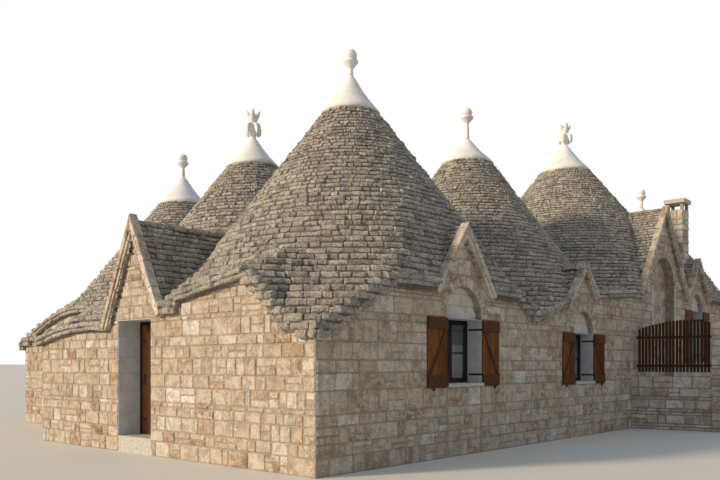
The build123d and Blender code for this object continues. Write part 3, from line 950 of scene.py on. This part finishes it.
def dressRecesses():
    heap = BlockHeap(seeds["recess"])
    for a0, z0, inner, *_ in rings[:-1]:
        face = side((a0 - inner, 0), (a0 + inner, 0), arches["recess"])
        foot = z0 - arches["foot"]
        levels = courseLevels("recessCourses", foot, z0 + inner, [], arches["rise"])
        heap.courses(face, levels, smoothStones)
    a0, z0, inner, _, jamb = rings[-1]
    face = side(plan[0], plan[1])
    foot, joint = tallArch["foot"], tallArch["jambJoint"]
    levels = courseLevels("jambCourses", foot, z0, [z0], tallArch["jambRise"])
    for edge, hand in ((a0 - inner, -1), (a0 + inner, 1)):
        ends = sorted((edge, edge + hand * jamb))
        for bottom, top in zip(levels, levels[1:]):
            low, high = bottom + joint, min(top, z0) - joint
            heap.block(face, *ends, low, high, smoothStones, tallArch["jambTone"])
    heap.make("arch_infill", dressed)
    heap = BlockHeap(seeds["tallRecess"])
    face = side((a0 - inner, 0), (a0 + inner, 0), tallArch["recess"])
    snaps = [tallArch["line"]]
    levels = courseLevels("recessCourses", foot, z0 + inner, snaps, arches["rise"])
    heap.courses(face, levels, smoothStones)
    heap.make("tall_arch_infill")


def dressYard():
    # garden wall, pier and chimney
    for index, name in enumerate(("garden_wall", "garden_pier", "chimney_stack")):
        heap = BlockHeap(seeds["yard"] + index, wallLook["yardTone"])
        low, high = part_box(name)
        corners, top = planCorners(name), high[2]
        if name == "chimney_stack":
            spots = (low[:2], (high[0], low[1]), high[:2], (low[0], high[1]))
            corners, top = [Vector(spot) for spot in spots], high[2] - wallLook["stackTop"]
        rise = wallLook["yardRise"]
        levels = courseLevels("yardCourses", low[2], top, [top], rise, index)
        levels = [z for z in levels if z <= top + wallLook["slack"]]
        for start, end in sidesOf(corners):
            if (end - start).length > wallLook["leastSide"]:
                heap.courses(side(start, end), levels, yardStones)
        heap.make(name + "_blocks")


dressHouse()
dressRecesses()
dressYard()
print("wall blocks laid")

# Eave and verge edges: the ends of the slates, stepped course by course
edgeStones = {
    "grow": 0.05, "proud": (0.01, 0.035), "depth": 0.2, "overhang": 0.1, "top": 6.0,
    "lengths": (0.2, 0.48), "joint": 0.003, "tone": (0.45, 0.22),
    "probes": (0.5, 0.2, 0.8), "heightShare": (0.92, 1.04),
}
eaveSlabs = {
    "step": 0.04, "in": 0.03, "below": 0.08, "steep": 0.4, "least": 0.9, "end": 0.005,
    "lengths": (0.26, 0.6), "joint": 0.002, "tone": (0.5, 0.22),
    "rows": 9, "rowStep": 0.17, "flat": 0.06,
    # how far each layer's foot is below the roof, its height and how far it stands out
    "layers": ((0.068, 0.088, 0.034), (0.15, 0.084, 0.018)),
}


def edgeProfile(face, inset=0.0):
    # height of the cones along the eave, or None where a gable or nothing is there
    opts = eaveSlabs
    count = int(face["length"] / opts["step"])
    profile = []
    for k in range(count + 1):
        a = min(max(face["length"] * k / count, opts["end"]), face["length"] - opts["end"])
        place = onFace(face, a, -(face["offset"] + opts["in"] + inset))
        z, who = roofUnder(place.x, place.y)
        isCone = who is not None and roofNodes[who] in coneNodes
        isEdge = isCone and (inset or isSkin(face, a, z - opts["below"]))
        profile.append((a, z if isEdge else None))
    return profile


def gentleRuns(profile):
    # stretches of the profile that rise or fall gently
    runs, run = [], []
    for a, z in profile:
        if run and (z is None or abs(z - run[-1][1]) > eaveSlabs["steep"] * (a - run[-1][0])):
            runs.append(run)
            run = []
        if z is not None:
            run.append((a, z))
    runs.append(run)
    return [run for run in runs if len(run) > 1 and run[-1][0] - run[0][0] > eaveSlabs["least"]]


def layEdge(heap, face, start, end, look, footAt, height, out=0.0):
    # a row of slabs along a side; footAt gives the level of their lower corners
    rnd = heap.random
    marks = cutMarks(rnd, start, end, look["lengths"], look["lengths"][0] / 2)
    for b0, b1 in zip(marks, marks[1:]):
        push = rnd.uniform(*edgeStones["proud"]) + out
        places = (b0 + look["joint"], b1 - look["joint"])
        ends = [onFace(face, a, push - face["offset"], footAt(a)) for a in places]
        tone = toneOf(rnd, *look["tone"])
        tall = height * rnd.uniform(*look["heightShare"]) if "heightShare" in look else height
        heap.lay(*ends, face["outward"], tall, edgeStones["depth"], tone)


def layEave(heap, face, run, inset, layers):
    # layers of long slabs whose top follows the roof
    places, levels = zip(*run)
    for drop, height, out in layers:

        def footAt(a):
            return float(np.interp(a, places, levels)) - drop

        layEdge(heap, face, places[0], places[-1], eaveSlabs, footAt, height, out - inset)


def layFlats(heap, face, profile):
    # rows of flags behind the eave, as far in as the roof is nearly level
    opts = eaveSlabs
    for row in range(1, opts["rows"]):
        inset = row * opts["rowStep"]
        flat = []
        for (a, z), (_, before) in zip(edgeProfile(face, inset), profile):
            isFlat = None not in (z, before) and abs(z - before) < opts["flat"]
            flat.append((a, z if isFlat else None))
        for run in gentleRuns(flat):
            layEave(heap, face, run, inset, opts["layers"][:1])
        profile = flat


def dressEdges():
    opts = edgeStones
    for index, (start, end) in enumerate(sidesOf(plan)):
        face = side(start, end, -opts["overhang"], tuple(coneNodes))
        # the eaves run past the corners by their overhang
        face["start"] = face["start"] - face["unit"] * opts["overhang"]
        face["length"] += 2 * opts["overhang"]
        heap = StoneHeap(seeds["edges"] + index, True)
        profile = edgeProfile(face)
        gentle = gentleRuns(profile)
        for run in gentle:
            layEave(heap, face, run, 0.0, eaveSlabs["layers"])
        layFlats(heap, face, profile)
        face["laid"] = [(run[0][0], run[-1][0]) for run in gentle]
        for level, course in slateCourses(opts["top"]):
            heights = [level + course * share for share in opts["probes"]]
            for a0, a1 in rowIntervals(face, heights):
                ends = (a0 - opts["grow"], a1 + opts["grow"])
                layEdge(heap, face, *ends, opts, lambda a: level, course)
        heap.make(f"edge_slates_{index}")


dressEdges()
print("eave edges laid")


# Boards and straps: prisms on an upright face, from outlines of (along, height)
def faceOf(low, high):
    # the side of the plan that a box stands against
    centre = (low + high) / 2
    found = []
    for index, (start, end) in enumerate(sidesOf(plan)):
        face = side(start, end)
        gap = abs((centre - face["start"]).dot(face["outward"]))
        along = (centre - face["start"]).dot(face["unit"])
        if -0.5 < along < face["length"] + 0.5:
            found.append((gap, index, face))
    face = min(found)[2]
    ends, depths = (
        sorted((corner - face["start"]).dot(face[way]) for corner in (low, high))
        for way in ("unit", "outward")
    )
    return face, ends, depths


def boxOf(name):
    return [Vector(corner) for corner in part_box(name)]


class BoardHeap(Heap):
    def prism(self, face, outline, near, far, tone=None):
        base, count = len(self.points), len(outline)
        if tone is None:
            tone = self.random.random()
        self.points += [onFace(face, a, depth, z) for depth in (near, far) for a, z in outline]
        self.tones += [tone] * (2 * count)
        self.faces.append(tuple(base + count + i for i in range(count)))
        self.faces.append(tuple(base + i for i in reversed(range(count))))
        for i in range(count):
            j = (i + 1) % count
            self.faces.append((base + i, base + j, base + count + j, base + count + i))

    def board(self, face, a0, a1, z0, z1, near, far, tone=None):
        self.prism(face, [(a0, z0), (a1, z0), (a1, z1), (a0, z1)], near, far, tone)


# Shutters: upright boards, a ledge at each end and one brace, on black strap hinges
shutterLook = {
    "boards": 4, "gap": 0.004, "boardNear": 0.006, "boardFar": 0.03, "edge": 0.003,
    # ledges and brace share one dark tone: darker ledges, and on the brace painted shade standing
    # for its edge shadows
    "ledge": 0.19, "ledgeInset": 0.02, "ledgeSide": 0.004, "ledgeFar": 0.05, "ledgeDarkBraceShade": 0.15,
    "brace": 0.08, "braceIn": 0.01, "braceFar": 0.048,
    "strapHeight": 0.035, "strapThick": 0.013, "strapShares": (0.16, 0.84), "strapDepth": 0.27,
    "strapFar": 0.034, "strapTip": 0.06, "ironEdge": 0.0015,
    # holdback: half width, foot and head from the shutter's foot, near and far of each part
    "holdAt": 0.72,
    "hold": ((0.012, -0.05, 0.03, 0.03, 0.056), (0.008, -0.05, -0.034, -0.01, 0.03)),
}


def windowBeside(face, centre):
    # middle of the window nearest to that place along the face
    middles = []
    for low, high in frameBoxes:
        other, ends = faceOf(low, high)[:2]
        if (other["start"] - face["start"]).length < 0.01:
            middle = sum(ends) / 2
            middles.append((abs(middle - centre), middle))
    return min(middles)[1]


def makeShutters():
    look = shutterLook
    wood, iron = BoardHeap(seeds["shutters"]), BoardHeap(seeds["straps"])
    boardFar, ledgeFar, tone = look["boardFar"], look["ledgeFar"], look["ledgeDarkBraceShade"]
    for low, high in looseBoxes("shutters"):
        face, (a0, a1) = faceOf(low, high)[:2]
        centre = (a0 + a1) / 2
        hand = 1 if centre > windowBeside(face, centre) else -1
        near, far = (a0, a1) if hand > 0 else (a1, a0)
        width = (a1 - a0) / look["boards"]
        for k in range(look["boards"]):
            left = a0 + k * width + look["gap"] / 2
            right = left + width - look["gap"]
            wood.board(face, left, right, low.z, high.z, look["boardNear"], boardFar)
        lower = (low.z + look["ledgeInset"], low.z + look["ledgeInset"] + look["ledge"])
        upper = (high.z - look["ledgeInset"] - look["ledge"], high.z - look["ledgeInset"])
        for z0, z1 in (lower, upper):
            left, right = a0 + look["ledgeSide"], a1 - look["ledgeSide"]
            wood.board(face, left, right, z0, z1, boardFar, ledgeFar, tone)
        # from the lower ledge's outer end to the upper ledge's hinge end
        reaches = (look["braceIn"], look["braceIn"] + look["brace"])
        brace = [(far - hand * reach, lower[1]) for reach in reaches]
        brace += [(near + hand * reach, upper[0]) for reach in reaches]
        if hand > 0:
            brace.reverse()
        # the brace's dark tone is painted shade of its edges
        wood.prism(face, brace, boardFar, look["braceFar"], tone)
        # each strap lies on the reveal and turns on to the shutter's edge
        jamb = near - hand * look["strapThick"]
        tip = near + hand * look["strapTip"]
        for share in look["strapShares"]:
            z = low.z + (high.z - low.z) * share
            for end, back in ((near, -look["strapDepth"]), (tip, boardFar)):
                left, right = sorted((jamb, end))
                top = z + look["strapHeight"]
                iron.board(face, left, right, z, top, back, look["strapFar"])
        # holdback below the outer half of the shutter
        spot = near + (far - near) * look["holdAt"]
        for half, foot, head, back, front in look["hold"]:
            iron.board(face, spot - half, spot + half, low.z + foot, low.z + head, back, front)
    piece = wood.make("shutter_boards", shutterWood, "shutter_wood", look["edge"])
    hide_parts("shutters")
    iron.make("shutter_straps", blackIron, "dark_wood", look["ironEdge"])


makeShutters()
print("shutters made")

# Windows: glazing bars, casement stiles and a half curtain behind the glass
windowLook = {
    "bar": 0.024, "barShare": 0.47, "barOut": 0.018, "stile": 0.03, "stileOut": 0.024,
    "lap": 0.002, "edge": 0.002, "curtainTop": 0.62, "curtainFoot": 0.01,
    "curtainFold": 0.012, "curtainPitch": 0.07, "curtainParts": 6, "curtainBack": 0.035,
}


def makeWindows():
    look = windowLook
    lap, stile, parts = look["lap"], look["stile"], look["curtainParts"]
    bars, linen = BoardHeap(seeds["bars"]), BoardHeap(seeds["linen"])
    for low, high in looseBoxes("window_glass"):
        face, (a0, a1), (deep, shallow) = faceOf(low, high)
        z = low.z + (high.z - low.z) * look["barShare"]
        half = look["bar"] / 2
        bars.board(face, a0, a1, z - half, z + half, shallow, shallow + look["barOut"])
        for frameBar in (
            (a0 - lap, a0 + stile, low.z - lap, high.z + lap),
            (a1 - stile, a1 + lap, low.z - lap, high.z + lap),
            (a0, a1, low.z - lap, low.z + stile),
            (a0, a1, high.z - stile, high.z + lap),
        ):
            bars.board(face, *frameBar, shallow, shallow + look["stileOut"])
        heights = (low.z + look["curtainFoot"], low.z + (high.z - low.z) * look["curtainTop"])
        folds = int((a1 - a0) / look["curtainPitch"] * parts)
        for k in range(folds):
            base = len(linen.points)
            for step in (k, k + 1):
                a = a0 + (a1 - a0) * step / folds
                swing = look["curtainFold"] * math.sin(2 * math.pi * step / parts)
                out = deep - look["curtainBack"] + swing
                linen.points += [onFace(face, a, out, z) for z in heights]
            linen.tones += [0.5] * 4
            linen.faces.append((base, base + 2, base + 3, base + 1))
    bars.make("window_bars", frameWood, "dark_wood", look["edge"])
    linen.make("window_curtains", curtainCloth, "white_limewash")


makeWindows()
print("windows made")

# Reveals: limewashed slabs on the jambs and heads of windows and doorway
revealLook = {
    "thick": 0.006, "sink": 0.002, "edge": 0.004, "joint": 0.004, "course": (0.3, 0.5),
    "left": 0.01, "bevel": 0.002,
}


def makeReveals():
    look = revealLook
    thick, sink, edge = look["thick"], look["sink"], look["edge"]
    heap = BoardHeap(seeds["reveals"])
    openings = [(low, high, low.z) for low, high in frameBoxes]
    openings.append((*boxOf("door_frame"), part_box("door_step")[1][2]))
    for low, high, bottom in openings:
        face, (a0, a1), (_, shallow) = faceOf(low, high)
        top = high.z
        for jamb, hand in ((a0, 1), (a1, -1)):
            ends = sorted((jamb - hand * sink, jamb + hand * thick))
            z = bottom
            while z < top - look["left"]:
                rise = heap.random.uniform(*look["course"])
                after = top if top - z - rise < look["course"][0] / 2 else z + rise
                heap.board(face, *ends, z, after - look["joint"], shallow, edge)
                z = after
        heap.board(face, a0 + thick, a1 - thick, top - thick, top + sink, shallow, edge)
    heap.make("reveal_slabs", revealLime, "limestone_blocks", look["bevel"])


makeReveals()
edgeWidths = {
    "window_sills": 0.006, "window_frames": 0.004, "door_frame": 0.004,
    "fence_panel": 0.004, "chimney_slab": 0.02, "door_step": 0.015,
}
for name, width in edgeWidths.items():
    roundEdges(nodes[name], width)


# Caps and finials: hand-plastered, so their edges are worn round; grain, rounds and coat
plasterLook = {
    "plaster_caps": (0.022, 8, 0.0), "ball_finials": (0.011, 5, 0.0),
    "crown_finials": (0.010, 3, 0.016),
}


def wornPlaster(name, grain, rounds, coat):
    if coat:
        layer = nodes[name].modifiers.new("coats", "SOLIDIFY")
        layer.thickness = coat
        layer.offset = 1.0
    remesh = nodes[name].modifiers.new("plaster", "REMESH")
    remesh.mode = "VOXEL"
    remesh.voxel_size = grain
    remesh.use_smooth_shade = True
    smooth = nodes[name].modifiers.new("hand", "SMOOTH")
    smooth.factor = 0.5
    smooth.iterations = rounds
    for polygon in nodes[name].data.polygons:
        polygon.use_smooth = True


def skirtRim(low, high, tree):
    # outline of a skirt: distances from the cap's axis and heights over its foot
    look = capSkirt
    centre, radius, tall = (low + high) / 2, (high.x - low.x) / 2, high.z - low.z

    def capRadius(z):
        outside = Vector((centre.x + look["outside"], centre.y, z))
        hit = tree.ray_cast(outside, Vector((-1, 0, 0)))
        return hit[0].x - centre.x if hit[0] is not None else radius

    foot, top = radius + look["flare"], look["follow"][-1] * tall
    neck = capRadius(low.z + top)
    rim = [(foot - look["lip"], -look["drop"] - look["under"]), (foot, -look["drop"])]
    for share in look["follow"]:
        up = share * tall
        bare = capRadius(low.z + max(up, look["leastUp"]))
        line = foot + (neck - foot) * (up + look["drop"]) / (top + look["drop"])
        rim.append((bare + look["lap"] + look["fill"] * max(line - bare, 0.0), up))
    rim.append((neck - look["topIn"], top + look["topUp"]))
    return rim


def makeSkirts():
    look = capSkirt
    rnd = random.Random(seeds["skirts"])
    points, faces = [], []
    tree = nodeTree(["plaster_caps"])[0]
    sides = look["sides"]
    for low, high in capBoxes:
        centre = (low + high) / 2
        rim = skirtRim(low, high, tree)
        base, rows = len(points), len(rim)
        drawn = [rnd.uniform(-1, 1) * look["wave"] for k in range(sides)]
        waves = [(drawn[k - 1] + 2 * drawn[k] + drawn[(k + 1) % sides]) / 4 for k in range(sides)]
        for k, wave in enumerate(waves):
            for i, (wide, up) in enumerate(rim):
                spot = centre + turned(k, sides) * wide
                # only the foot waves
                points.append((spot.x, spot.y, low.z + up + (wave if i < 2 else 0.0)))
            here, after = base + k * rows, base + (k + 1) % sides * rows
            for i in range(rows - 1):
                faces.append((here + i, after + i, after + i + 1, here + i + 1))
    piece = meshFrom("cap_skirts", points, faces, [0.5] * len(points), lime)
    for polygon in piece.data.polygons:
        polygon.use_smooth = True


makeSkirts()
for name, look in plasterLook.items():
    wornPlaster(name, *look)
print("plaster worn")

# Verge slabs: long stones up both slopes of each gable's front, proud of its edge
vergeLook = {
    "lengths": (0.3, 0.56), "behind": 0.13, "joint": 0.01, "wave": 0.007, "tone": (0.35, 1.0),
    "onFront": 0.004, "footWide": 0.01, "bevel": 0.014,
    # outer and inner edge off the slope and how far each layer stands out
    "layers": ((0.052, -0.038, (0.03, 0.045)), (-0.04, -0.1, (0.012, 0.02))),
}


def makeVerges():
    look = vergeLook
    heap = BoardHeap(seeds["verges"])
    rnd = heap.random
    for name in gableNodes:
        face, _, (_, shallow) = faceOf(*boxOf(name))
        front = []
        for vertex in nodes[name].data.vertices:
            reach = vertex.co - face["start"]
            if abs(reach.dot(face["outward"]) - shallow) < look["onFront"]:
                front.append((reach.dot(face["unit"]), vertex.co.z))
        peak = max(front, key=lambda spot: spot[1])
        for hand in (-1, 1):
            far = max(front, key=lambda spot: hand * spot[0])[0]
            feet = [spot for spot in front if abs(spot[0] - far) < look["footWide"]]
            foot = max(feet, key=lambda spot: spot[1])
            run, fall = abs(foot[0] - peak[0]), peak[1] - foot[1]
            total = math.hypot(run, fall)
            slope, away = (hand * run / total, -fall / total), (hand * fall / total, run / total)

            def at(s, off):
                return tuple(peak[i] + slope[i] * s + away[i] * off for i in (0, 1))

            for outer, inner, proud in look["layers"]:
                marks = cutMarks(rnd, 0.0, total, look["lengths"], look["lengths"][0] / 2)
                for k, (s0, s1) in enumerate(zip(marks, marks[1:])):
                    out = outer + rnd.uniform(-1, 1) * look["wave"]
                    # the first stones of both slopes meet in a mitre
                    starts = [-fall / run * off if k == 0 else s0 for off in (inner, out)]
                    end = s1 - look["joint"]
                    outline = [at(starts[0], inner), at(end, inner)]
                    outline += [at(end, out), at(starts[1], out)]
                    if hand < 0:
                        outline.reverse()
                    near, far = shallow - look["behind"], shallow + rnd.uniform(*proud)
                    heap.prism(face, outline, near, far, rnd.uniform(*look["tone"]))
    heap.make("verge_slabs", blocks, "limestone_blocks", look["bevel"])


makeVerges()

# Ridge stones: saddles over both slopes of a gable, with a pale tip stone at its front
ridgeLook = {
    "length": (0.17, 0.3), "half": 0.085, "thick": 0.045, "past": 0.03, "joint": 0.008,
    "end": 0.02, "tip": 0.95, "tone": (0.45, 0.15), "wideShare": (0.9, 1.1),
    "thickShare": (0.8, 1.15),
    # shares of the half width and of the thickness over the slope
    "profile": (
        (-1.0, 0.0), (-1.0, 0.8), (-0.35, 1.0), (0.0, 0.75), (0.35, 1.0), (1.0, 0.8), (1.0, 0.0),
    ),
}


def saddle(heap, start, end, across, pitch, tone):
    look, rnd = ridgeLook, heap.random
    base, count = len(heap.points), len(look["profile"])
    for place in (start, start.lerp(end, 0.5), end):
        for u, v in look["profile"]:
            wide = u * look["half"] * rnd.uniform(*look["wideShare"])
            rise = v * look["thick"] * rnd.uniform(*look["thickShare"]) - abs(wide) * pitch
            heap.points.append(place + across * wide + Vector((0, 0, rise)))
            heap.tones.append(tone)
    for c in (0, count):
        for r in range(count):
            a, b = base + c + r, base + c + (r + 1) % count
            heap.faces.append((a, b, b + count, a + count))
    heap.faces.append(tuple(base + r for r in reversed(range(count))))
    heap.faces.append(tuple(base + 2 * count + r for r in range(count)))


def makeRidges():
    look = ridgeLook
    for index, name in enumerate(gableNodes):
        low, high, ridge, middle, deep, half = gableAxes(name)
        heap = StoneHeap(seeds["ridges"] + index)
        across = Vector((ridge.y, -ridge.x, 0))
        pitch = (high[2] - low[2]) / half
        place = -look["past"]
        while place < deep - look["end"]:
            long = heap.random.uniform(*look["length"])
            spot = middle + ridge * (place + long / 2 - deep / 2)
            if roofUnder(spot.x, spot.y)[1] == roofNodes.index(name):
                tone = look["tip"] if place < 0 else heap.random.gauss(*look["tone"])
                start = middle + ridge * (place - deep / 2)
                end = start + ridge * (long - look["joint"])
                start.z = end.z = high[2]
                saddle(heap, start, end, across, pitch, tone)
            place += long
        heap.make(name.replace("_gable_roof", "_ridge_stones"))


makeRidges()

# Door: upright planks, strap hinges and a latch plate
doorLook = {
    "planks": 6, "gap": 0.003, "proud": 0.004, "inset": 0.002, "leaf": 0.924, "edge": 0.002,
    "straps": (0.25, 1.7), "strapTall": 0.045, "strapIn": 0.02, "strapShort": 0.25,
    "strapFar": 0.008, "ironEdge": 0.0015,
    # latch plate: along from the leaf's edge, up from its foot and outwards
    "latch": ((0.06, 0.11), (0.92, 1.12), (0.003, 0.01)),
}


def makeDoor():
    look = doorLook
    low, high = boxOf("door_leaf")
    face, (a0, a1), (_, shallow) = faceOf(low, high)
    wood, iron = BoardHeap(seeds["planks"]), BoardHeap(seeds["doorIron"])
    a0 = max(a0, a1 - look["leaf"])
    width = (a1 - a0) / look["planks"]
    plankFar = shallow + look["proud"]
    for k in range(look["planks"]):
        left = a0 + k * width + look["gap"] / 2
        right = left + width - look["gap"]
        z0, z1 = low.z + look["inset"], high.z - look["inset"]
        wood.board(face, left, right, z0, z1, shallow, plankFar)
    for up in look["straps"]:
        left, right, z = a0 + look["strapIn"], a1 - look["strapShort"], low.z + up
        strapFar = shallow + look["strapFar"]
        iron.board(face, left, right, z, z + look["strapTall"], plankFar, strapFar)
    spans = zip((a0, low.z, shallow), look["latch"])
    iron.board(face, *(origin + reach for origin, span in spans for reach in span))
    wood.make("door_planks", doorWood, "door_wood", look["edge"], "door")
    iron.make("door_straps", blackIron, "dark_wood", look["ironEdge"], "door")


makeDoor()
print("door made")

# Floor and light: warm low sun from the left, pale blue sky, white where it is seen
studio = {
    "floorHalf": 2000.0, "floorColour": "#dcd8d0", "floorRough": 0.9,
    "sunFrom": (-1.0, 0.5, 0.4), "sunStrength": 3.5, "sunAngle": 10.0,
    "sunColour": "#ffeacb", "skyStrength": 0.47, "skyColour": "#d5e3f6",
}


def makeFloor():
    mesh = bpy.data.meshes.new("studio floor")
    signs = ((-1, -1), (1, -1), (1, 1), (-1, 1))
    corners = [(x * studio["floorHalf"], y * studio["floorHalf"], 0) for x, y in signs]
    mesh.from_pydata(corners, [], [(0, 1, 2, 3)])
    finish = {"Base Color": srgb(studio["floorColour"]), "Roughness": studio["floorRough"]}
    mesh.materials.append(newMaterial("pale studio floor", finish)[0])
    floor = bpy.data.objects.new("studio_floor", mesh)
    bpy.context.collection.objects.link(floor)


def makeLight():
    sun = bpy.data.lights.new("key", "SUN")
    sun.energy = studio["sunStrength"]
    sun.angle = math.radians(studio["sunAngle"])
    sun.color = srgb(studio["sunColour"])[:3]
    lamp = bpy.data.objects.new("key", sun)
    lamp.rotation_mode = "QUATERNION"
    lamp.rotation_quaternion = Vector(studio["sunFrom"]).to_track_quat("Z", "Y")
    bpy.context.collection.objects.link(lamp)


def makeSky():
    world = bpy.data.worlds.new("studio")
    bpy.context.scene.world = world
    world.use_nodes = True
    tree = world.node_tree
    tree.nodes.clear()
    rays = addNode(tree, "ShaderNodeLightPath").outputs
    seen = rays["Is Camera Ray"]
    for other in ("Is Glossy Ray", "Is Transmission Ray"):
        links = {0: seen, 1: rays[other]}
        seen = addNode(tree, "ShaderNodeMath", links, operation="MAXIMUM").outputs[0]
    shades = ((srgb(studio["skyColour"]), studio["skyStrength"]), ((1, 1, 1, 1), 1.0))
    soft, white = (
        addNode(tree, "ShaderNodeBackground", sockets={"Color": colour, "Strength": strength})
        for colour, strength in shades
    )
    links = {0: seen, 1: soft.outputs[0], 2: white.outputs[0]}
    mix = addNode(tree, "ShaderNodeMixShader", links)
    addNode(tree, "ShaderNodeOutputWorld", {"Surface": mix.outputs[0]})


makeFloor()
makeLight()
makeSky()
bpy.context.scene.view_settings.view_transform = "Standard"
print("floor and light made")
